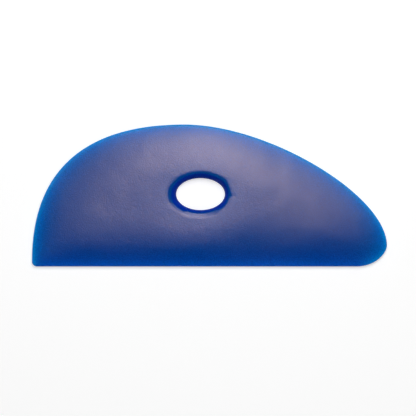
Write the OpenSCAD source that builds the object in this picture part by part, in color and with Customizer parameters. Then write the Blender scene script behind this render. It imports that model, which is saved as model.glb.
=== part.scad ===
// Flexible pottery rib, moulded in one piece from translucent polyurethane rubber.
// It is a half-moon blade with a straight edge, a swept back edge and a rounded nose.
// The back is flat. The face is crowned, so that the blade is stiff on the land round
// the oval finger hole and thins to a rounded lip at every working edge.
//
// Lengths are millimetres. X runs from the heel to the nose, Y from the straight edge
// to the crown, and Z from the flat back to the crowned face. The origin lies on the
// back, at the middle of the blade's length and height.

/* [Blade] */
// Length, from the heel to the tip of the nose
blade_l = 127; // [110:0.5:150]
// Height, from the straight edge to the crown
blade_h = 50.8; // [46:0.1:60]
// Thickness on the land round the finger hole
land_t = 4.8; // [3.6:0.1:6.4]
// Thickness of the blade where the taper reaches its edge
edge_t = 1.8; // [1.5:0.1:2.8]
// Width of the taper, from the edge in to the land
taper_w = 16; // [9:0.5:17]

/* [Outline] */
// Crown's distance along the blade from the heel
crown_from_heel = 54.4; // [46:0.1:62]
// Height of the nose's tip above the straight edge
nose_up = 7.5; // [6:0.1:10]
// Length that the rounded chin takes off the straight edge
chin_l = 10.9; // [8:0.1:15]
// Corner radius between the heel and the straight edge
heel_r = 1.8; // [1.2:0.1:4]
// Fullness of the heel's rise, as a share of its height
heel_fullness = 0.65; // [0.5:0.01:0.8]
// Fullness of the crown towards the heel, as a share of that run
crown_fullness = 0.67; // [0.5:0.01:0.8]
// Fullness of the swept back near the crown, as a share of its run
back_fullness = 0.42; // [0.3:0.01:0.6]
// Fullness of the swept back near the nose, as a share of its drop
nose_fullness = 0.41; // [0.3:0.01:0.6]
// Fullness of the chin near the nose's tip, as a share of its drop
chin_drop_fullness = 0.32; // [0.2:0.01:0.6]
// Fullness of the chin near the straight edge, as a share of its length
chin_run_fullness = 0.66; // [0.4:0.01:0.8]

/* [Edge] */
// Rounding of the edge on the crowned face
lip_r = 0.8; // [0.5:0.05:1]
// Rounding of the edge on the flat back
back_r = 0.4; // [0.2:0.05:0.5]

/* [Finger hole] */
// Hole's distance along the blade from the heel
hole_from_heel = 60.3; // [54:0.1:68]
// Height of the hole's middle above the straight edge
hole_up = 25.9; // [23:0.1:29]
// Length of the hole at its throat
throat_l = 17.4; // [14:0.1:19]
// Height of the hole at its throat
throat_h = 11.4; // [9:0.1:12.5]
// Depth of the throat's straight wall, up from the back
throat_d = 0.8; // [0.3:0.1:1.5]
// Length of the flare's mouth, where it breaks into the dish
mouth_l = 20.8; // [20:0.1:22.5]
// Height of the flare's mouth
mouth_h = 14; // [13.5:0.1:15.5]
// Length of the shallow dish that eases the face into the hole
dish_l = 23.8; // [23:0.1:27]
// Height of the dish
dish_h = 17; // [16:0.1:20]
// Depth of the dish where it meets the flare
dish_d = 0.3; // [0.1:0.05:0.6]

/* [Hidden] */

polymer_blue = [0.12, 0.26, 0.55];

// Points round the outline, stretch by stretch
straight_steps = 44;
chin_steps = 14;
back_steps = 42;
heel_steps = 38;
corner_steps = 6;
// Rings through the section, from the back round the lip and the face to the throat
back_edge_steps = 3;
lip_steps = 5;
face_steps = 12;
dish_steps = 4;
flare_steps = 8;
// How far the face's rings crowd towards the lip, where the taper is steepest: 1 is even
face_crowding = 1.35;
// How sharply the dish turns down towards the flare: 1 is a straight cone
dish_turn = 1.6;
// Where the flare leaves the dish, in degrees round its quarter of an ellipse
flare_start = 80;
// Depth cast below the back, which is then struck off flat
strike_off = 0.5;
// Keeps a point that lies in line with a side of the outline from dividing by nothing
in_line = 1e-4;

heel_x = -blade_l / 2;
nose_x = blade_l / 2;
straight_y = -blade_h / 2;
crown_y = blade_h / 2;
heel_y = straight_y + heel_r;
crown_x = heel_x + crown_from_heel;
nose_y = straight_y + nose_up;
toe_x = nose_x - chin_l;
hole_centre = [heel_x + hole_from_heel, straight_y + hole_up];

// The face is a parabola across the taper, and this is its slope at the edge
edge_slope = atan(2 * (land_t - edge_t) / taper_w);

// ---- Outline: stops of [point, outward direction], anticlockwise seen from the face

function stop(point, travel) = [point, [travel[1], -travel[0]] / norm(travel)];

function cubic(a, b, c, d, t) =
    pow(1 - t, 3) * a + 3 * t * pow(1 - t, 2) * b + 3 * t * t * (1 - t) * c + pow(t, 3) * d;

function cubic_travel(a, b, c, d, t) =
    pow(1 - t, 2) * (b - a) + 2 * t * (1 - t) * (c - b) + t * t * (d - c);

function swept(a, b, c, d, steps) =
    [for (i = [0 : steps - 1]) stop(cubic(a, b, c, d, i / steps), cubic_travel(a, b, c, d, i / steps))];

// Direction of a point seen from the finger hole
function bearing(point) = atan2(point[1] - hole_centre[1], point[0] - hole_centre[0]);

// The straight edge's stops fan out evenly from the finger hole
function straight_edge() =
    let (first = bearing([heel_x + heel_r, straight_y]), last = bearing([toe_x, straight_y]))
    [for (i = [0 : straight_steps - 1])
        let (a = first + (last - first) * i / straight_steps)
        stop([hole_centre[0] + (straight_y - hole_centre[1]) / tan(a), straight_y], [1, 0])];

function chin() =
    let (toe = [toe_x, straight_y], tip = [nose_x, nose_y])
    swept(toe, toe + [chin_run_fullness * chin_l, 0],
          tip - [0, chin_drop_fullness * nose_up], tip, chin_steps);

function swept_back() =
    let (tip = [nose_x, nose_y], top = [crown_x, crown_y])
    swept(tip, tip + [0, nose_fullness * (crown_y - nose_y)],
          top + [back_fullness * (nose_x - crown_x), 0], top, back_steps);

function heel_sweep() =
    let (top = [crown_x, crown_y], foot = [heel_x, heel_y])
    swept(top, top - [crown_fullness * crown_from_heel, 0],
          foot + [0, heel_fullness * (crown_y - heel_y)], foot, heel_steps);

function heel_corner() =
    [for (i = [0 : corner_steps - 1])
        let (a = 180 + 90 * i / corner_steps)
        stop([heel_x + heel_r, heel_y] + heel_r * [cos(a), sin(a)], [-sin(a), cos(a)])];

outline = concat(straight_edge(), chin(), swept_back(), heel_sweep(), heel_corner());
rays = len(outline);

// ---- Taper: a soft distance to the edge, equal to the true one beside a long edge and
// less where edges crowd together, so that the face has no ridge in the nose or corner

sides = [for (i = [0 : rays - 1])
    let (a = outline[i][0], b = outline[(i + 1) % rays][0])
    [a, (b - a) / norm(b - a), norm(b - a)]];
ones = [for (i = [1 : rays]) 1];

// Inverse-cube pull of one side of the outline on a point
function side_pull(point, side) =
    let (
        to_start = side[0] - point,
        t0 = to_start * side[1],
        t1 = t0 + side[2],
        d2 = to_start * to_start - t0 * t0 + in_line
    )
    (t1 / sqrt(d2 + t1 * t1) - t0 / sqrt(d2 + t0 * t0)) / d2;

function soft_distance(point) =
    1 / sqrt([for (side = sides) side_pull(point, side)] * ones / 2);

function face_z(point) =
    let (short_of_land = 1 - min(1, soft_distance(point) / taper_w))
    land_t - (land_t - edge_t) * short_of_land * short_of_land;

// ---- Section: rings that follow the outline, from the back over the face to the throat

function inset(i, distance) = outline[i][0] - distance * outline[i][1];

function raised(point, z) = [point[0], point[1], z];

// Point of the ellipse half_l by half_h round the hole, on the side of outline stop i
function hole_point(i, half_l, half_h) =
    let (
        toward = bearing(outline[i][0]),
        a = atan2(dish_l * sin(toward), dish_h * cos(toward))
    )
    hole_centre + [half_l * cos(a), half_h * sin(a)];

function back_edge_ring(a) =
    [for (i = [0 : rays - 1]) raised(inset(i, back_r * (1 - sin(a))), back_r * (1 - cos(a)))];

// Where the lip's rounding runs out into the face
lip_inset = lip_r * (1 - sin(edge_slope));
face_start = [for (i = [0 : rays - 1]) inset(i, lip_inset)];
face_start_z = [for (point = face_start) face_z(point)];

function lip_ring(a) =
    [for (i = [0 : rays - 1])
        raised(inset(i, lip_r * (1 - sin(a))), face_start_z[i] - lip_r * (cos(edge_slope) - cos(a)))];

dish = [for (i = [0 : rays - 1]) hole_point(i, dish_l / 2, dish_h / 2)];
mouth = [for (i = [0 : rays - 1]) hole_point(i, mouth_l / 2, mouth_h / 2)];
throat = [for (i = [0 : rays - 1]) hole_point(i, throat_l / 2, throat_h / 2)];
mouth_z = [for (point = mouth) face_z(point) - dish_d];

function face_ring(share) =
    [for (i = [0 : rays - 1])
        let (point = face_start[i] + share * (dish[i] - face_start[i]))
        raised(point, face_z(point))];

function dish_ring(share) =
    [for (i = [0 : rays - 1])
        let (point = dish[i] + share * (mouth[i] - dish[i]))
        raised(point, face_z(point) - dish_d * pow(share, dish_turn))];

// The flare is most of a quarter of an ellipse, nearly level at the mouth and upright
// at the throat
function flare_ring(a) =
    [for (i = [0 : rays - 1])
        raised(throat[i] + (1 - cos(a)) / (1 - cos(flare_start)) * (mouth[i] - throat[i]),
               throat_d + (mouth_z[i] - throat_d) * sin(a) / sin(flare_start))];

rings = concat(
    [[for (i = [0 : rays - 1]) raised(inset(i, back_r), -strike_off)]],
    [for (s = [0 : back_edge_steps]) back_edge_ring(90 * s / back_edge_steps)],
    [for (s = [0 : lip_steps]) lip_ring(90 - (90 - edge_slope) * s / lip_steps)],
    [for (s = [1 : face_steps]) face_ring(pow(s / face_steps, face_crowding))],
    [for (s = [1 : dish_steps]) dish_ring(s / dish_steps)],
    [for (s = [1 : flare_steps]) flare_ring(flare_start * (1 - s / flare_steps))],
    [[for (point = throat) raised(point, -strike_off)]]
);

// The last ring closes on the first across the underside
faces = [for (r = [0 : len(rings) - 1], i = [0 : rays - 1])
    let (
        j = (i + 1) % rays,
        here = r * rays,
        next = ((r + 1) % len(rings)) * rays
    )
    each [[here + i, next + i, next + j], [here + i, next + j, here + j]]];

module casting() {
    polyhedron(points = [for (ring = rings) each ring], faces = faces);
}

module below_the_back() {
    translate([-blade_l, -blade_h, -2 * strike_off])
        cube([2 * blade_l, 2 * blade_h, 2 * strike_off]);
}

module rib() {
    color(polymer_blue)
        difference() {
            casting();
            below_the_back();
        }
}

rib();
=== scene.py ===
"""Flexible half-moon pottery rib, dressed around its packed frame.

The rib is one casting, so it is one piece. Its shape follows the packed rib's own
rules at a finer step, with the small faults that casting and trimming leave, and its
finish is satin cast polyurethane that glows where the blade is thin.

Lengths are metres. X runs from the heel to the nose, Y from the straight edge to the
crown, and Z from the flat back to the crowned face.
"""

import logging
import math
from dataclasses import dataclass, field
from enum import Enum

import bpy
import numpy as np
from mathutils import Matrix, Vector


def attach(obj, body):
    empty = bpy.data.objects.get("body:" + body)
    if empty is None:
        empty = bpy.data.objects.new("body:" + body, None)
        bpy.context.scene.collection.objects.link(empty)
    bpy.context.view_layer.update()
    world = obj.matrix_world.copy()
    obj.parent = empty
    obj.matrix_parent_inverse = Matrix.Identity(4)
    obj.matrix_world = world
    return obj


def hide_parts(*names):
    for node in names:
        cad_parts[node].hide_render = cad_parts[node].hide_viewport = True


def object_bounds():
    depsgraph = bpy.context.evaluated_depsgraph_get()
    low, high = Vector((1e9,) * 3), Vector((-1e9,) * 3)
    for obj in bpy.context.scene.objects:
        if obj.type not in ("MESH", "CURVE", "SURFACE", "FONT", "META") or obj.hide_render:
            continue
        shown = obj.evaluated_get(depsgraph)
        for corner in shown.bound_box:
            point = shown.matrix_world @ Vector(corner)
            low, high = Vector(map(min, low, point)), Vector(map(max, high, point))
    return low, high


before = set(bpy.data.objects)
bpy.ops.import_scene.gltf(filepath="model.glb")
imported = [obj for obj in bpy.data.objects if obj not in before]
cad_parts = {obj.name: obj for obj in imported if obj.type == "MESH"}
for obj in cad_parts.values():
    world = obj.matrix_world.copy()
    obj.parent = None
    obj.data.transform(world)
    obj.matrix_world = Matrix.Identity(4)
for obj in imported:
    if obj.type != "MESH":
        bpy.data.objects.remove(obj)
CAD_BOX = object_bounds()

MM = 0.001
PICTURE_PX = 416

log = logging.getLogger("pottery_rib")

Node = bpy.types.ShaderNode
Socket = bpy.types.NodeSocket
Tree = bpy.types.NodeTree
# Points along a line, and the direction of travel at each
Walk = tuple[np.ndarray, np.ndarray]
# Amounts that the knife took, by the turn round the hole's oval in degrees
KnifeTable = tuple[tuple[float, float], ...]


class Stretch(Enum):
    """The stretches of the rib's outline, anticlockwise from the heel's corner."""

    STRAIGHT_EDGE = "straight edge"
    CHIN = "chin"
    SWEPT_BACK = "swept back"
    HEEL_SWEEP = "heel sweep"
    HEEL_CORNER = "heel corner"


class Kept(Enum):
    """What the casting's points keep for its finish, by the attribute's name."""

    EDGE_DISTANCE = "edge_distance"
    OPENNESS = "edge_lit_share"


class Mixing(Enum):
    """The colour sockets of a mixing node, by their place among its inputs and outputs."""

    FACTOR = 0
    FIRST = 6
    SECOND = 7
    RESULT = 2


class Ray(Enum):
    """Kinds of light ray that a stage material tells apart, by their socket's name."""

    CAMERA = "Is Camera Ray"
    GLOSSY = "Is Glossy Ray"
    TRANSMISSION = "Is Transmission Ray"


def linear(srgb_hex: str) -> tuple[float, float, float, float]:
    """Turns an sRGB colour into the linear one that Blender works in.

    Args:
        srgb_hex: The colour as six hexadecimal digits, such as "00266E".

    Returns:
        Linear red, green and blue, and an alpha of 1.
    """
    parts = [int(srgb_hex[i : i + 2], 16) / 255 for i in (0, 2, 4)]
    toned = [c / 12.92 if c <= 0.04045 else ((c + 0.055) / 1.055) ** 2.4 for c in parts]
    return (toned[0], toned[1], toned[2], 1.0)


def add_node(
    tree: Tree,
    kind: str,
    settings: dict[str, object] | None = None,
    links: dict[str | int, Socket] | None = None,
) -> Node:
    """Adds a node to a tree, with its settings and the links into it.

    Args:
        tree: The node tree to add to.
        kind: Blender's name for the node's type.
        settings: Values by name, for the node's own properties or its inputs.
        links: Output sockets by the name or number of the input that each feeds.

    Returns:
        The new node.
    """
    node = tree.nodes.new(kind)
    for name, value in (settings or {}).items():
        if name in node.inputs:
            node.inputs[name].default_value = value
        else:
            setattr(node, name, value)
    for name, source in (links or {}).items():
        tree.links.new(source, node.inputs[name])
    return node


def raised(points: np.ndarray, z: np.ndarray | float) -> np.ndarray:
    """Returns flat points with their height."""
    return np.column_stack([points, np.broadcast_to(z, len(points))])


def cubic(a: np.ndarray, b: np.ndarray, c: np.ndarray, d: np.ndarray, steps: int) -> Walk:
    """Walks a cubic curve from a to d, which it stops short of.

    Args:
        a: Start point.
        b: Handle of the start point.
        c: Handle of the end point.
        d: End point.
        steps: How many points to make.

    Returns:
        The points and the direction of travel at each, as arrays of rows.
    """
    t = np.arange(steps)[:, None] / steps
    points = (1 - t) ** 3 * a + 3 * t * (1 - t) ** 2 * b + 3 * t * t * (1 - t) * c + t**3 * d
    travel = (1 - t) ** 2 * (b - a) + 2 * t * (1 - t) * (c - b) + t * t * (d - c)
    return points, travel


@dataclass
class TrimmedHole:
    """The hole's curves as the knife left them, each with a point for each of the outline's."""

    # Straight away from the hole's middle, at each point
    radial: np.ndarray
    dish: np.ndarray
    dish_d: np.ndarray
    mouth: np.ndarray
    throat: np.ndarray
    # The throat's plain oval: the flash still reaches it where the wall above was cut back
    flash: np.ndarray


@dataclass
class FingerHole:
    """The oval hole: a dish that eases the face in, a flare, and a short upright throat.

    The hole was trimmed by hand after casting. The knife took the dish off towards the
    nose and left a pointed nick there, it cut the flare wide along the top and at the
    heel's side, and a feather of flash stands in the throat.
    """

    from_heel: float = 60.3 * MM
    up: float = 25.9 * MM
    throat_l: float = 17.4 * MM
    throat_h: float = 11.4 * MM
    throat_d: float = 0.8 * MM
    mouth_l: float = 20.8 * MM
    mouth_h: float = 14.0 * MM
    dish_l: float = 23.8 * MM
    dish_h: float = 17.0 * MM
    dish_d: float = 0.42 * MM
    # How sharply the dish turns down towards the flare: 1 is a straight cone
    dish_turn: float = 1.15
    # Where the flare leaves the dish, on its quarter of an ellipse
    flare_start: float = math.radians(80)
    # How much the knife narrowed the dish
    trim: KnifeTable = (
        (-180, 0.3 * MM),
        (-155, 0.0 * MM),
        (-64, 0.0 * MM),
        (-38, 1.35 * MM),
        (-14, 1.35 * MM),
        (-6, 0.45 * MM),
        (4, 0.95 * MM),
        (17, 1.0 * MM),
        (29, 0.7 * MM),
        (42, 0.05 * MM),
        (62, 0.25 * MM),
        (180, 0.3 * MM),
    )
    # What it left of the dish where it cut deepest
    dish_left: float = 0.12 * MM
    # How far out it cut the flare's mouth
    cut: KnifeTable = (
        (-180, 0.6 * MM),
        (-152, 1.0 * MM),
        (-138, 0.8 * MM),
        (-124, 0.8 * MM),
        (-117, 0.15 * MM),
        (-105, 0.0 * MM),
        (-60, 0.0 * MM),
        (-45, 0.6 * MM),
        (-30, 0.3 * MM),
        (-14, 0.0 * MM),
        (10, 0.1 * MM),
        (45, 0.6 * MM),
        (90, 0.95 * MM),
        (180, 0.6 * MM),
    )
    # Light comes in through the hole too, painted into the colour as a glow round it. The depth of
    # colour at its mouth, and the share of each step outwards by which that deepens
    glow_depth: float = 6.5 * MM
    glow_fade: float = 0.3
    # The feather of flash: where it stands, how wide it spreads, how far in and how thick
    flash_at: float = math.radians(40)
    flash_spread: float = math.radians(22)
    flash_w: float = 0.34 * MM
    flash_t: float = 0.14 * MM

    def centre(self) -> np.ndarray:
        """Returns the hole's middle, in the plane of the back."""
        low = CAD_BOX[0]
        return np.array([low.x + self.from_heel, low.y + self.up])

    def turns(self, points: np.ndarray) -> np.ndarray:
        """Finds where round the hole's oval each ray from its middle crosses it.

        Args:
            points: A point that each ray goes to, as rows of X and Y.

        Returns:
            The oval's own angle for each ray, in radians.
        """
        away = points - self.centre()
        length = np.hypot(away[:, 0], away[:, 1])
        return np.arctan2(self.dish_l * away[:, 1] / length, self.dish_h * away[:, 0] / length)

    def oval(self, turns: np.ndarray, length: float, height: float) -> np.ndarray:
        """Returns the points of an oval round the hole's middle, at the given turns."""
        half = np.array([length, height]) / 2
        return self.centre() + half * np.stack([np.cos(turns), np.sin(turns)], axis=1)

    @staticmethod
    def knifed(turns: np.ndarray, table: KnifeTable) -> np.ndarray:
        """Returns how much the knife took at each turn, by one of its tables."""
        at, taken = zip(*table)
        return np.interp(np.degrees(turns), at, taken)

    def trimmed(self, edge: np.ndarray) -> TrimmedHole:
        """Draws the hole's curves as the knife left them.

        Args:
            edge: The outline's points, which the curves' own points lie in line with.

        Returns:
            The curves.
        """
        turns = self.turns(edge)
        mouth = self.oval(turns, self.mouth_l, self.mouth_h)
        dish = self.oval(turns, self.dish_l, self.dish_h)
        radial = mouth - self.centre()
        radial /= np.linalg.norm(radial, axis=1)[:, None]
        full_w = np.linalg.norm(dish - mouth, axis=1)
        cut = self.knifed(turns, self.cut)
        dish_w = np.maximum(full_w - cut - self.knifed(turns, self.trim), self.dish_left)
        cut_mouth = mouth + cut[:, None] * radial
        flash = self.oval(turns, self.throat_l, self.throat_h)
        return TrimmedHole(
            radial=radial,
            dish=cut_mouth + dish_w[:, None] * radial,
            dish_d=self.dish_d * dish_w / full_w,
            mouth=cut_mouth,
            throat=flash + self.flash(turns)[:, None] * radial,
            flash=flash,
        )

    def depth(self, points: np.ndarray) -> np.ndarray:
        """Measures how deep the colour lies that the hole's own light clears.

        Args:
            points: Rows of X and Y.

        Returns:
            The depth at each point, as a distance from an open edge.
        """
        away = points - self.centre()
        length = np.hypot(*away.T)
        share = np.hypot(*(away / (self.mouth_l / 2, self.mouth_h / 2)).T)
        return self.glow_depth + self.glow_fade * length * np.maximum(0, 1 - 1 / share)

    def flash(self, turns: np.ndarray) -> np.ndarray:
        """Returns how far the feather of flash stands into the throat at each turn."""
        return self.flash_w * np.exp(-(((turns - self.flash_at) / self.flash_spread) ** 2))


@dataclass
class Outline:
    """The blade's plan: straight edge, rounded chin and nose, swept back, crown and heel."""

    hole: FingerHole
    crown_from_heel: float = 54.4 * MM
    nose_up: float = 7.5 * MM
    chin_l: float = 10.9 * MM
    heel_r: float = 1.8 * MM
    # Fullness of each curve near its ends, as a share of its run or its rise
    heel_fullness: float = 0.65
    crown_fullness: float = 0.67
    back_fullness: float = 0.42
    nose_fullness: float = 0.41
    chin_drop_fullness: float = 0.32
    chin_run_fullness: float = 0.66
    # Points along each stretch
    steps: dict[Stretch, int] = field(
        default_factory=lambda: {
            Stretch.STRAIGHT_EDGE: 150,
            Stretch.CHIN: 44,
            Stretch.SWEPT_BACK: 132,
            Stretch.HEEL_SWEEP: 120,
            Stretch.HEEL_CORNER: 18,
        }
    )

    def stretches(self) -> dict[Stretch, Walk]:
        """Traces each stretch of the outline.

        Returns:
            For each stretch its points and its directions of travel, as arrays of rows.
        """
        (left, low, _), (right, high, _) = CAD_BOX
        heel = np.array([left, low + self.heel_r])
        crown = np.array([left + self.crown_from_heel, high])
        tip = np.array([right, low + self.nose_up])
        toe = np.array([right - self.chin_l, low])
        along, up = np.array([1.0, 0.0]), np.array([0.0, 1.0])
        return {
            Stretch.STRAIGHT_EDGE: self.straight_edge(np.array([left + self.heel_r, low]), toe),
            Stretch.CHIN: cubic(
                toe,
                toe + self.chin_run_fullness * self.chin_l * along,
                tip - self.chin_drop_fullness * self.nose_up * up,
                tip,
                self.steps[Stretch.CHIN],
            ),
            Stretch.SWEPT_BACK: cubic(
                tip,
                tip + self.nose_fullness * (high - tip[1]) * up,
                crown + self.back_fullness * (right - crown[0]) * along,
                crown,
                self.steps[Stretch.SWEPT_BACK],
            ),
            Stretch.HEEL_SWEEP: cubic(
                crown,
                crown - self.crown_fullness * self.crown_from_heel * along,
                heel + self.heel_fullness * (high - heel[1]) * up,
                heel,
                self.steps[Stretch.HEEL_SWEEP],
            ),
            Stretch.HEEL_CORNER: self.heel_corner(heel + self.heel_r * along),
        }

    def straight_edge(self, start: np.ndarray, end: np.ndarray) -> Walk:
        """Walks the straight edge in steps that fan out evenly from the hole.

        Args:
            start: The edge's end at the heel.
            end: Its end at the chin.

        Returns:
            The points and the directions of travel, as arrays of rows.
        """
        middle = self.hole.centre()
        first, last = (math.atan2(*(p - middle)[::-1]) for p in (start, end))
        steps = self.steps[Stretch.STRAIGHT_EDGE]
        turn = first + (last - first) * np.arange(steps) / steps
        x = middle[0] + (start[1] - middle[1]) / np.tan(turn)
        points = np.stack([x, np.full(steps, start[1])], axis=1)
        return points, np.tile([1.0, 0.0], (steps, 1))

    def heel_corner(self, middle: np.ndarray) -> Walk:
        """Walks the rounded corner between the heel and the straight edge.

        Args:
            middle: The centre of the corner's arc.

        Returns:
            The points and the directions of travel, as arrays of rows.
        """
        steps = self.steps[Stretch.HEEL_CORNER]
        turn = math.pi + math.pi / 2 * np.arange(steps) / steps
        points = middle + self.heel_r * np.stack([np.cos(turn), np.sin(turn)], axis=1)
        return points, np.stack([-np.sin(turn), np.cos(turn)], axis=1)

    def trace(self) -> tuple[np.ndarray, np.ndarray]:
        """Joins the stretches into one closed outline.

        Returns:
            The outline's points, anticlockwise, and its outward direction at each.
        """
        runs = self.stretches()
        points = np.concatenate([runs[s][0] for s in Stretch])
        travel = np.concatenate([runs[s][1] for s in Stretch])
        travel /= np.linalg.norm(travel, axis=1)[:, None]
        return points, np.stack([travel[:, 1], -travel[:, 0]], axis=1)


@dataclass
class Crowning:
    """The face's height: full on the land, and a parabola down across the taper."""

    outline_points: np.ndarray
    edge_t: float = 1.8 * MM
    taper_w: float = 16.0 * MM
    # Keeps a point in line with a side from dividing by nothing, in square metres
    in_line: float = 1e-10
    # How closely a side has to run with the straight edge to lie in its own shadow
    facing_power: float = 24.0
    # Where along the blade the straight edge's taper runs wide or narrow, by how much, and
    # over what length, as the mould was finished by hand
    wander: tuple[tuple[float, float, float], ...] = (
        (-47.0 * MM, -1.2 * MM, 10 * MM),
        (-7.0 * MM, -3.6 * MM, 14 * MM),
        (22.0 * MM, 3.0 * MM, 10 * MM),
        (40.0 * MM, -1.2 * MM, 10 * MM),
    )

    def land_t(self) -> float:
        """Returns the blade's full thickness, which is the packed rib's."""
        return CAD_BOX[1].z - CAD_BOX[0].z

    def edge_slope(self) -> float:
        """Returns the taper's slope at the edge, in radians."""
        return math.atan(2 * (self.land_t() - self.edge_t) / self.taper_w)

    def pulls(self, points: np.ndarray) -> tuple[np.ndarray, np.ndarray]:
        """Adds up how strongly the sides of the outline pull on each point.

        Args:
            points: Rows of X and Y.

        Returns:
            The inverse-cube pull of all the sides, and the part of it that comes from
            sides which don't run with the straight edge, and so are open to the light.
        """
        start = self.outline_points
        side = np.roll(start, -1, axis=0) - start
        length = np.linalg.norm(side, axis=1)
        along = side / length[:, None]
        total, open_part = np.zeros(len(points)), np.zeros(len(points))
        for a, u, run in zip(start, along, length):
            to_start = a - points
            t0 = to_start @ u
            t1 = t0 + run
            d2 = np.einsum("ij,ij->i", to_start, to_start) - t0 * t0 + self.in_line
            pull = (t1 / np.sqrt(d2 + t1 * t1) - t0 / np.sqrt(d2 + t0 * t0)) / d2
            total += pull
            open_part += pull * (1 - max(0.0, u[0]) ** self.facing_power)
        return total, open_part

    def nearness(self, points: np.ndarray) -> tuple[np.ndarray, np.ndarray]:
        """Measures a soft distance to the edge, which crowding edges pull down.

        Args:
            points: Rows of X and Y.

        Returns:
            The distance at each point: the true one beside a long edge, and less in the
            nose and the corner, so that no ridge forms there. Then the share of the
            point's nearest edge that light comes in through.
        """
        total, open_part = self.pulls(points)
        return 1 / np.sqrt(total / 2), open_part / total

    def height(self, points: np.ndarray) -> np.ndarray:
        """Returns the face's height above the back at each point.

        Args:
            points: Rows of X and Y.

        Returns:
            The heights.
        """
        distance, openness = self.nearness(points)
        x = points[:, 0]
        swell = sum(by * np.exp(-(((x - at) / spread) ** 2)) for at, by, spread in self.wander)
        short_of_land = 1 - np.minimum(1, distance / (self.taper_w + (1 - openness) * swell))
        return self.land_t() - (self.land_t() - self.edge_t) * short_of_land**2


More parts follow.
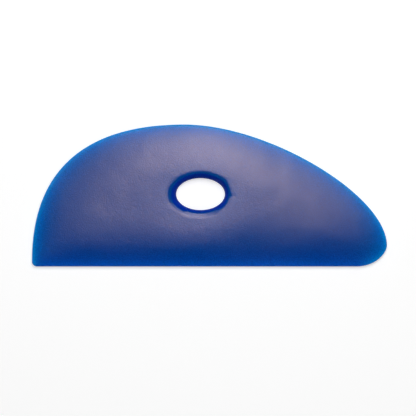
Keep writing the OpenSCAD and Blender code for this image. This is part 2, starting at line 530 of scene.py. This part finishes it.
@dataclass(frozen=True)
class CastPolyurethane:
    """Cast polyurethane rubber, dyed through, from a lightly blasted mould.

    The blasting gives a satin skin: a broad soft sheen, broken up by a grain as fine as
    the grit and by faint flow marks. The dye is deep where the blade is thick, and light
    that has crept in glows a clearer blue where it is thin.
    """

    name: str = "satin_cast_polyurethane"
    # Body colour, lit copy, against the distance in from an edge that light comes in through. Its
    # clearer blue near the edge is painted glow
    lit_colours: tuple[tuple[float, str], ...] = (
        (0.0 * MM, "009EEC"),
        (0.7 * MM, "0082DA"),
        (1.8 * MM, "0068C4"),
        (3.6 * MM, "0058AE"),
        (5.6 * MM, "004EA0"),
        (8.0 * MM, "004696"),
        (14.0 * MM, "00408C"),
    )
    # A copy in painted shade, for the straight edge, which lies in its own shadow
    shaded_colours: tuple[tuple[float, str], ...] = (
        (0.0 * MM, "0060D0"),
        (1.2 * MM, "0057C4"),
        (2.7 * MM, "0049AC"),
        (5.0 * MM, "00429C"),
        (14.0 * MM, "00408C"),
    )
    roughness: float = 0.205
    # How far the flow marks and the grain each swing the roughness
    flow_swing: float = 0.05
    grain_swing: float = 0.09
    # Share by which the dye's colour wavers from grain to grain
    fleck: float = 0.5
    ior: float = 1.5
    gloss: float = 0.5
    # The sheen is a little warm
    sheen_tint: str = "FFE5DD"
    scatter_weight: float = 0.35
    # How far light creeps through the rubber, and the share of that for red, green and blue
    scatter_reach: float = 1.6 * MM
    scatter_shares: tuple[float, float, float] = (0.2, 0.55, 1.0)
    # Blasting grit of about 0.1 mm, drawn at 0.38 mm so that it shows
    grain: float = 0.38 * MM
    grain_depth: float = 0.05 * MM
    # Flow marks from the pour
    flow_mark: float = 9.0 * MM
    flow_depth: float = 0.14 * MM
    # Each pattern has finer layers: how many, and the share of its strength that the next
    # keeps. The pour drags its own marks a little
    layers: float = 1.0
    grain_fading: float = 0.5
    flow_fading: float = 0.4
    flow_drag: float = 0.2

    def body_colour(self, tree: Tree) -> Socket:
        """Adds the nodes for the body colour, which clears towards the edge.

        Args:
            tree: The material's node tree.

        Returns:
            The colour socket.
        """
        deepest = self.lit_colours[-1][0]
        depth = add_node(tree, "ShaderNodeAttribute", {"attribute_name": Kept.EDGE_DISTANCE.value})
        openness = add_node(tree, "ShaderNodeAttribute", {"attribute_name": Kept.OPENNESS.value})
        share = add_node(
            tree,
            "ShaderNodeMapRange",
            {"From Max": deepest, "clamp": True},
            {"Value": depth.outputs["Fac"]},
        )
        ramps = []
        for colours in (self.shaded_colours, self.lit_colours):
            ramp = add_node(tree, "ShaderNodeValToRGB", links={"Fac": share.outputs["Result"]})
            stops = ramp.color_ramp.elements
            for i, (distance, colour) in enumerate(colours):
                stop = stops[i] if i < len(stops) else stops.new(1.0)
                stop.position = distance / deepest
                stop.color = linear(colour)
            ramps.append(ramp.outputs["Color"])
        # Painted shade and painted light: the shaded copy along the straight edge, the lit copy
        # elsewhere, by the share of light each point gets
        mixed = add_node(
            tree,
            "ShaderNodeMix",
            {"data_type": "RGBA"},
            {
                Mixing.FACTOR.value: openness.outputs["Fac"],
                Mixing.FIRST.value: ramps[0],
                Mixing.SECOND.value: ramps[1],
            },
        )
        return mixed.outputs[Mixing.RESULT.value]

    def patterns(self, tree: Tree) -> tuple[Socket, Socket]:
        """Adds the blasted grain and the flow marks.

        Args:
            tree: The material's node tree.

        Returns:
            The sockets of the grain and of the flow marks.
        """
        place = add_node(tree, "ShaderNodeTexCoord").outputs["Object"]
        grain = add_node(
            tree,
            "ShaderNodeTexNoise",
            {"Scale": 1 / self.grain, "Detail": self.layers, "Roughness": self.grain_fading},
            {"Vector": place},
        )
        flow = add_node(
            tree,
            "ShaderNodeTexNoise",
            {
                "Scale": 1 / self.flow_mark,
                "Detail": self.layers,
                "Roughness": self.flow_fading,
                "Distortion": self.flow_drag,
            },
            {"Vector": place},
        )
        return grain.outputs["Fac"], flow.outputs["Fac"]

    def material(self) -> bpy.types.Material:
        """Builds the material.

        Returns:
            The new material.
        """
        made = bpy.data.materials.new(self.name)
        made.use_nodes = True
        tree = made.node_tree
        tree.nodes.clear()
        grain, flow = self.patterns(tree)
        flow_bump = add_node(tree, "ShaderNodeBump", {"Distance": self.flow_depth}, {"Height": flow})
        bump = add_node(
            tree,
            "ShaderNodeBump",
            {"Distance": self.grain_depth},
            {"Height": grain, "Normal": flow_bump.outputs["Normal"]},
        )
        # The roughness that the flow gives, what the grain adds to it, and the dye's strength
        swings = (
            (flow, self.roughness, self.flow_swing),
            (grain, 0.0, self.grain_swing),
            (grain, 1.0, self.fleck),
        )
        flowed, gritty, flecked = (
            add_node(
                tree,
                "ShaderNodeMapRange",
                {"To Min": middle - by, "To Max": middle + by},
                {"Value": pattern},
            ).outputs["Result"]
            for pattern, middle, by in swings
        )
        roughness = add_node(tree, "ShaderNodeMath", {"operation": "ADD"}, {0: flowed, 1: gritty})
        colour = add_node(
            tree,
            "ShaderNodeVectorMath",
            {"operation": "SCALE"},
            {0: self.body_colour(tree), "Scale": flecked},
        )
        skin = add_node(
            tree,
            "ShaderNodeBsdfPrincipled",
            {
                "IOR": self.ior,
                "Specular IOR Level": self.gloss,
                "Specular Tint": linear(self.sheen_tint),
                "Subsurface Weight": self.scatter_weight,
                "Subsurface Radius": self.scatter_shares,
                "Subsurface Scale": self.scatter_reach,
            },
            {
                "Base Color": colour.outputs[0],
                "Roughness": roughness.outputs[0],
                "Normal": bump.outputs["Normal"],
            },
        )
        add_node(tree, "ShaderNodeOutputMaterial", links={"Surface": skin.outputs["BSDF"]})
        return made


def ground_polyurethane() -> CastPolyurethane:
    """Describes the same rubber where it was cut and ground: matt, and one even blue.

    Returns:
        The finish of the flare's wall.
    """
    even = ((0.0 * MM, "0034AA"), (14.0 * MM, "0034AA"))
    return CastPolyurethane(
        name="ground_cast_polyurethane",
        lit_colours=even,
        shaded_colours=even,
        roughness=0.6,
        gloss=0.03,
    )


@dataclass
class Rib:
    """The whole rib: one crowned, tapered casting with a rounded lip and a flared hole."""

    hole: FingerHole = field(default_factory=FingerHole)
    skin: CastPolyurethane = field(default_factory=CastPolyurethane)
    wall: CastPolyurethane = field(default_factory=ground_polyurethane)
    slot: str = "polyurethane"
    node: str = "rib"
    body: str = "root"
    lip_r: float = 0.8 * MM
    back_r: float = 0.4 * MM
    throat_edge_r: float = 0.15 * MM
    # How sharply the depth of colour changes over from the edges' to the hole's
    blend_power: float = 3.0
    # Rings through the section, and how far the face's crowd towards the lip
    back_steps: int = 16
    back_edge_steps: int = 5
    side_steps: int = 3
    lip_steps: int = 10
    face_steps: int = 34
    face_crowding: float = 1.35
    dish_steps: int = 8
    flare_steps: int = 18
    # Rings at the top of the flare that the grinding left alone
    flare_skin_steps: int = 3
    throat_steps: int = 3

    def back(self, rim: np.ndarray, cut: TrimmedHole) -> list[np.ndarray]:
        """Crosses the flat back, from the hole out to the rib's edge.

        Args:
            rim: Where the flat of the back ends.
            cut: The hole's curves, as trimmed.

        Returns:
            The back's rings.
        """
        start = cut.flash + self.throat_edge_r * cut.radial
        shares = np.linspace(0, 1, self.back_steps, endpoint=False)
        return [raised(start + share * (rim - start), 0.0) for share in shares]

    def lip(
        self, edge: np.ndarray, outward: np.ndarray, taper_z: np.ndarray, slope: float
    ) -> list[np.ndarray]:
        """Rounds the rib's edge, from the back up to where the face's taper starts.

        Args:
            edge: The outline's points.
            outward: The outline's outward direction at each.
            taper_z: The face's height where its taper starts.
            slope: The taper's slope there, in radians.

        Returns:
            The edge's rings.
        """
        foot_z = taper_z - self.lip_r * math.cos(slope)
        made = []
        for a in np.linspace(0, math.pi / 2, self.back_edge_steps, endpoint=False):
            inset = self.back_r * (1 - math.sin(a))
            made.append(raised(edge - inset * outward, self.back_r * (1 - math.cos(a))))
        for share in np.linspace(0, 1, self.side_steps, endpoint=False):
            made.append(raised(edge, self.back_r + share * (foot_z - self.back_r)))
        for a in np.linspace(math.pi / 2, slope, self.lip_steps, endpoint=False):
            inset = self.lip_r * (1 - math.sin(a))
            made.append(raised(edge - inset * outward, foot_z + self.lip_r * math.cos(a)))
        return made

    def face(self, start: np.ndarray, crowning: Crowning, cut: TrimmedHole) -> list[np.ndarray]:
        """Crosses the crowned face and its dish, from the lip to the flare's mouth.

        Args:
            start: Where the taper starts.
            crowning: The face's height.
            cut: The hole's curves, as trimmed.

        Returns:
            The face's rings.
        """
        made = []
        for share in np.linspace(0, 1, self.face_steps, endpoint=False) ** self.face_crowding:
            points = start + share * (cut.dish - start)
            made.append(raised(points, crowning.height(points)))
        for share in np.linspace(0, 1, self.dish_steps, endpoint=False):
            points = cut.dish + share * (cut.mouth - cut.dish)
            sunk = cut.dish_d * share**self.hole.dish_turn
            made.append(raised(points, crowning.height(points) - sunk))
        return made

    def flare(self, crowning: Crowning, cut: TrimmedHole) -> list[np.ndarray]:
        """Goes down through the hole, from the flare's mouth to the throat's edge at the back.

        Args:
            crowning: The face's height.
            cut: The hole's curves, as trimmed.

        Returns:
            The rings of the hole's wall.
        """
        start, throat_d, flash_t = self.hole.flare_start, self.hole.throat_d, self.hole.flash_t
        rise = crowning.height(cut.mouth) - cut.dish_d - throat_d
        made = []
        for a in np.linspace(start, 0, self.flare_steps, endpoint=False):
            out = (1 - math.cos(a)) / (1 - math.cos(start))
            up = math.sin(a) / math.sin(start)
            made.append(raised(cut.throat + out * (cut.mouth - cut.throat), throat_d + up * rise))
        for share in np.linspace(0, 1, self.throat_steps):
            made.append(raised(cut.throat, throat_d + share * (flash_t - throat_d)))
        made.append(raised(cut.flash, flash_t))
        made.append(raised(cut.flash, self.throat_edge_r))
        return made

    def rings(self) -> list[np.ndarray]:
        """Follows the section once round, from the throat out over the back and in again.

        Returns:
            One ring of points after another, each as long as the outline.
        """
        edge, outward = Outline(self.hole).trace()
        crowning = Crowning(edge)
        cut = self.hole.trimmed(edge)
        slope = crowning.edge_slope()
        taper_start = edge - self.lip_r * (1 - math.sin(slope)) * outward
        return [
            *self.back(edge - self.back_r * outward, cut),
            *self.lip(edge, outward, crowning.height(taper_start), slope),
            *self.face(taper_start, crowning, cut),
            *self.flare(crowning, cut),
        ]

    def kept(self, points: np.ndarray) -> dict[Kept, np.ndarray]:
        """Works out what the finish needs to know at each point.

        Args:
            points: Rows of X and Y.

        Returns:
            The soft distance to the edges and the hole, and the share of them that light
            comes in through.
        """
        edge, _ = Outline(self.hole).trace()
        distance, openness = Crowning(edge).nearness(points)
        edge_pull = distance**-self.blend_power
        hole_pull = self.hole.depth(points) ** -self.blend_power
        total = edge_pull + hole_pull
        return {
            Kept.EDGE_DISTANCE: total ** (-1 / self.blend_power),
            Kept.OPENNESS: (openness * edge_pull + hole_pull) / total,
        }

    def build(self) -> bpy.types.Object:
        """Builds the casting's mesh.

        Returns:
            The rib's object, with what its finish needs kept on its points.
        """
        rings = self.rings()
        rays = len(rings[0])
        points = np.concatenate(rings)
        here = np.arange(rays)
        beyond = (here + 1) % rays
        faces = []
        for r in range(len(rings)):
            a, b = r * rays, (r + 1) % len(rings) * rays
            faces.append(np.stack([here + a, here + b, beyond + b, beyond + a], axis=1))
        mesh = bpy.data.meshes.new("rib_casting")
        mesh.from_pydata(points.tolist(), [], np.concatenate(faces).tolist())
        mesh.polygons.foreach_set("use_smooth", [True] * len(mesh.polygons))
        wall_rings = self.flare_steps - self.flare_skin_steps + self.throat_steps + 1
        first_wall = (len(rings) - 1 - wall_rings) * rays
        finish = [int(first_wall <= i < (len(rings) - 1) * rays) for i in range(len(mesh.polygons))]
        mesh.polygons.foreach_set("material_index", finish)
        for kept, values in self.kept(points[:, :2]).items():
            attribute = mesh.attributes.new(kept.value, "FLOAT", "POINT")
            attribute.data.foreach_set("value", values.astype(np.float32))
        mesh.update()
        made = bpy.data.objects.new("rib_blade", mesh)
        bpy.context.scene.collection.objects.link(made)
        return made

    def dress(self, piece: bpy.types.Object) -> None:
        """Gives the casting its skin and its cut wall, and seats it on its body.

        Args:
            piece: The rib's object.
        """
        for finish in (self.skin, self.wall):
            piece.data.materials.append(finish.material())
        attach(piece, self.body)
        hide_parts(self.node)


@dataclass(frozen=True)
class MattPaper:
    """Matt white paper, which shows plain white with a soft grey shadow."""

    colour: str = "F2F2F2"
    # What a camera sees is an even glow plus lit paper of this grey, so the shadow is soft
    glow: float = 0.5
    shade: str = "D6D6D6"

    def material(self) -> bpy.types.Material:
        """Builds the material.

        Returns:
            The new material.
        """
        made = bpy.data.materials.new("matt_white_paper")
        made.use_nodes = True
        tree = made.node_tree
        tree.nodes.clear()
        path = add_node(tree, "ShaderNodeLightPath")
        plain = add_node(tree, "ShaderNodeBsdfDiffuse", {"Color": linear(self.colour)})
        lit = add_node(tree, "ShaderNodeBsdfDiffuse", {"Color": linear(self.shade)})
        glow = add_node(tree, "ShaderNodeEmission", {"Strength": self.glow})
        seen = add_node(
            tree, "ShaderNodeAddShader", links={0: lit.outputs["BSDF"], 1: glow.outputs["Emission"]}
        )
        either = add_node(
            tree,
            "ShaderNodeMath",
            {"operation": "MAXIMUM"},
            {0: path.outputs[Ray.CAMERA.value], 1: path.outputs[Ray.TRANSMISSION.value]},
        )
        shown = add_node(
            tree,
            "ShaderNodeMath",
            {"operation": "MAXIMUM"},
            {0: either.outputs[0], 1: path.outputs[Ray.GLOSSY.value]},
        )
        mixed = add_node(
            tree,
            "ShaderNodeMixShader",
            links={0: shown.outputs[0], 1: plain.outputs["BSDF"], 2: seen.outputs["Shader"]},
        )
        add_node(tree, "ShaderNodeOutputMaterial", links={"Surface": mixed.outputs["Shader"]})
        return made


@dataclass
class Table:
    """The plain pale floor that the rib lies on."""

    side: float = 4.0
    gap: float = 0.02 * MM
    finish: MattPaper = field(default_factory=MattPaper)

    def build(self) -> bpy.types.Object:
        """Builds the floor, just under the rib, and marks it as stage.

        Returns:
            The floor's object.
        """
        half = self.side / 2
        z = CAD_BOX[0].z - self.gap
        mesh = bpy.data.meshes.new("floor_sheet")
        corners = [(-half, -half, z), (half, -half, z), (half, half, z), (-half, half, z)]
        mesh.from_pydata(corners, [], [(0, 1, 2, 3)])
        made = bpy.data.objects.new("floor", mesh)
        made.data.materials.append(self.finish.material())
        bpy.context.scene.collection.objects.link(made)
        return made


@dataclass
class Softbox:
    """A rectangular softbox, facing straight down at the rib."""

    name: str
    place: tuple[float, float, float]
    width: float
    length: float
    radiance: float
    # Degrees about the upright
    turn: float = 0.0
    # Whether it shows in the rib's sheen
    in_gloss: bool = True

    def build(self) -> bpy.types.Object:
        """Hangs the light.

        Returns:
            The light's object.
        """
        lamp = bpy.data.lights.new(self.name, "AREA")
        lamp.shape = "RECTANGLE"
        lamp.size = self.width
        lamp.size_y = self.length
        lamp.energy = self.radiance * math.pi * self.width * self.length
        made = bpy.data.objects.new(self.name, lamp)
        made.location = self.place
        made.rotation_euler.z = math.radians(self.turn)
        made.visible_camera = False
        made.visible_glossy = self.in_gloss
        bpy.context.scene.collection.objects.link(made)
        return made


def softboxes() -> list[Softbox]:
    """Lists the lights that the rib's sheen mirrors, and a fill that it doesn't.

    Returns:
        The softboxes. Those that show hang 2 mm apart in height, so that no two of them
        lie in one plane.
    """
    return [
        Softbox("long_strip", (0.03, 0.1, 0.600), width=0.016, length=0.66, radiance=9.5, turn=-13),
        Softbox("broad_softbox", (-0.03, 0.265, 0.602), width=0.4, length=0.68, radiance=1.35, turn=-40),
        Softbox("main_softbox", (0.1, 0.345, 0.604), width=0.46, length=0.46, radiance=2.35, turn=25),
        Softbox("narrow_softbox", (0.02, 0.21, 0.606), width=0.06, length=0.38, radiance=9.8, turn=-5),
        Softbox("side_softbox", (-0.44, 0.43, 0.608), width=0.5, length=0.36, radiance=0.4, turn=10),
        Softbox("short_strip", (0.155, 0.065, 0.610), width=0.016, length=0.3, radiance=9.5, turn=-29),
        Softbox("front_fill", (0.0, -0.3, 0.6), width=0.5, length=0.4, radiance=0.6, in_gloss=False),
    ]


@dataclass
class Room:
    """The studio around: white behind, pale at the horizon and dark overhead."""

    # Brightness at the horizon and overhead, and the sine of the angle up at which the one
    # has given way to the other
    horizon: float = 0.15
    overhead: float = 0.0
    horizon_ends: float = 0.25

    def build(self) -> bpy.types.World:
        """Builds the world.

        Returns:
            The scene's new world.
        """
        made = bpy.data.worlds.new("studio")
        made.use_nodes = True
        tree = made.node_tree
        tree.nodes.clear()
        path = add_node(tree, "ShaderNodeLightPath")
        place = add_node(tree, "ShaderNodeTexCoord")
        axes = add_node(tree, "ShaderNodeSeparateXYZ", links={0: place.outputs["Generated"]})
        level = add_node(
            tree,
            "ShaderNodeMapRange",
            {
                "From Max": self.horizon_ends,
                "To Min": self.horizon,
                "To Max": self.overhead,
                "interpolation_type": "SMOOTHSTEP",
            },
            {"Value": axes.outputs["Z"]},
        )
        white = linear("FFFFFF")
        around = add_node(
            tree, "ShaderNodeBackground", {"Color": white}, {"Strength": level.outputs["Result"]}
        )
        behind = add_node(tree, "ShaderNodeBackground", {"Color": white, "Strength": 1.0})
        mixed = add_node(
            tree,
            "ShaderNodeMixShader",
            links={
                0: path.outputs[Ray.CAMERA.value],
                1: around.outputs["Background"],
                2: behind.outputs["Background"],
            },
        )
        add_node(tree, "ShaderNodeOutputWorld", links={"Surface": mixed.outputs["Shader"]})
        bpy.context.scene.world = made
        return made


@dataclass
class OverheadCamera:
    """The camera, straight above, framed by where the rib lies in the picture."""

    above: float = 1.0
    sensor: float = 36.0
    # The length is the surer measure of the picture's scale, so it counts for this share
    length_share: float = 0.75
    # The rib's edges in the picture
    rib_left_px: float = 31.6
    rib_right_px: float = 387.3
    rib_top_px: float = 125.1
    rib_bottom_px: float = 265.9

    def build(self) -> bpy.types.Object:
        """Places the camera and makes it the scene's.

        Returns:
            The camera's object.
        """
        low, high = CAD_BOX
        span = (high.x - low.x) / (self.rib_right_px - self.rib_left_px)
        rise = (high.y - low.y) / (self.rib_bottom_px - self.rib_top_px)
        metres_a_pixel = self.length_share * span + (1 - self.length_share) * rise
        right_of_middle = (self.rib_left_px + self.rib_right_px - PICTURE_PX) / 2
        below_middle = (self.rib_top_px + self.rib_bottom_px - PICTURE_PX) / 2
        x = (low.x + high.x) / 2 - right_of_middle * metres_a_pixel
        y = (low.y + high.y) / 2 + below_middle * metres_a_pixel
        data = bpy.data.cameras.new("overhead_camera")
        data.sensor_width = self.sensor
        data.lens = self.sensor * self.above / (PICTURE_PX * metres_a_pixel)
        made = bpy.data.objects.new("overhead_camera", data)
        made.location = (x, y, self.above)
        bpy.context.scene.collection.objects.link(made)
        bpy.context.scene.camera = made
        return made


def main() -> None:
    """Builds the camera, the rib and its stage, and reports each."""
    logging.basicConfig(level=logging.INFO, format="%(name)s: %(message)s")
    bpy.context.scene.view_settings.view_transform = "Standard"
    camera = OverheadCamera().build()
    log.info("%s: %.0f mm lens", camera.name, camera.data.lens)
    rib = Rib()
    blade = rib.build()
    rib.dress(blade)
    log.info("%s: %d points, %d faces", blade.name, len(blade.data.vertices), len(blade.data.polygons))
    for part in (Table(), *softboxes(), Room()):
        log.info("%s: %s", part.build().name, part.__doc__)


if __name__ == "__main__":
    main()
